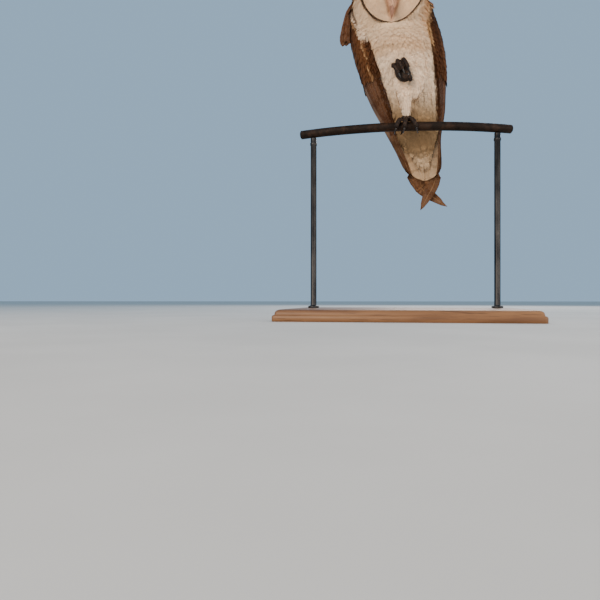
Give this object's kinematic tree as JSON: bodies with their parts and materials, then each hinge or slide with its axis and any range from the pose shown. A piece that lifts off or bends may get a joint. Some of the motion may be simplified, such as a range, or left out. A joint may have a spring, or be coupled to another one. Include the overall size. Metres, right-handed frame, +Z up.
{
  "type": "barn owl model",
  "caption": "Life-size perched barn owl standing on one leg on a short curved rod, with the other foot tucked up, on a plain display stand.",
  "frame": {"origin": "middle of the stand base's underside, on the floor", "axes": "+Z up, -Y the way the owl faces, +X the owl's left"},
  "size_m": [0.38, 0.26, 0.5765],
  "materials": {
    "white_feather": "soft matte feather",
    "face_feather": "soft matte feather",
    "gold_feather": "soft matte feather",
    "brown_feather": "matte feather vane",
    "tail_feather": "matte feather vane",
    "toe_skin": "rough scaled skin",
    "horn": "satin horn",
    "claw": "satin horn",
    "eye": "wet gloss",
    "rusty_steel": "weathered dark brown steel",
    "stand_steel": "satin black",
    "stand_wood": "satin lacquer"
  },
  "bodies": {
    "root": {"bill_lower": "horn", "bill_upper": "horn", "eye_left": "eye", "eye_right": "eye", "facial_disc": "face_feather", "foot_left": "toe_skin", "foot_right": "toe_skin", "head": "gold_feather", "leg_left": "white_feather", "neck": "gold_feather", "perch_rod": "rusty_steel", "primaries_left": "brown_feather", "primaries_right": "brown_feather", "scapulars_left": "gold_feather", "scapulars_raised": "brown_feather", "scapulars_right": "gold_feather", "secondaries_left": "brown_feather", "secondaries_right": "brown_feather", "stand_base": "stand_wood", "stand_rod_left": "stand_steel", "stand_rod_right": "stand_steel", "tail": "tail_feather", "talon_left_hind": "claw", "talon_left_inner": "claw", "talon_left_middle": "claw", "talon_left_outer": "claw", "talon_right_hind": "claw", "talon_right_inner": "claw", "talon_right_middle": "claw", "talon_right_outer": "claw", "tarsus_right": "white_feather", "thigh_right": "white_feather", "toe_left_hind": "toe_skin", "toe_left_inner": "toe_skin", "toe_left_middle": "toe_skin", "toe_left_outer": "toe_skin", "toe_right_hind": "toe_skin", "toe_right_inner": "toe_skin", "toe_right_middle": "toe_skin", "toe_right_outer": "toe_skin", "trunk": "white_feather", "wing_coverts_left": "brown_feather", "wing_coverts_right": "brown_feather"}
  },
  "joints": []
}
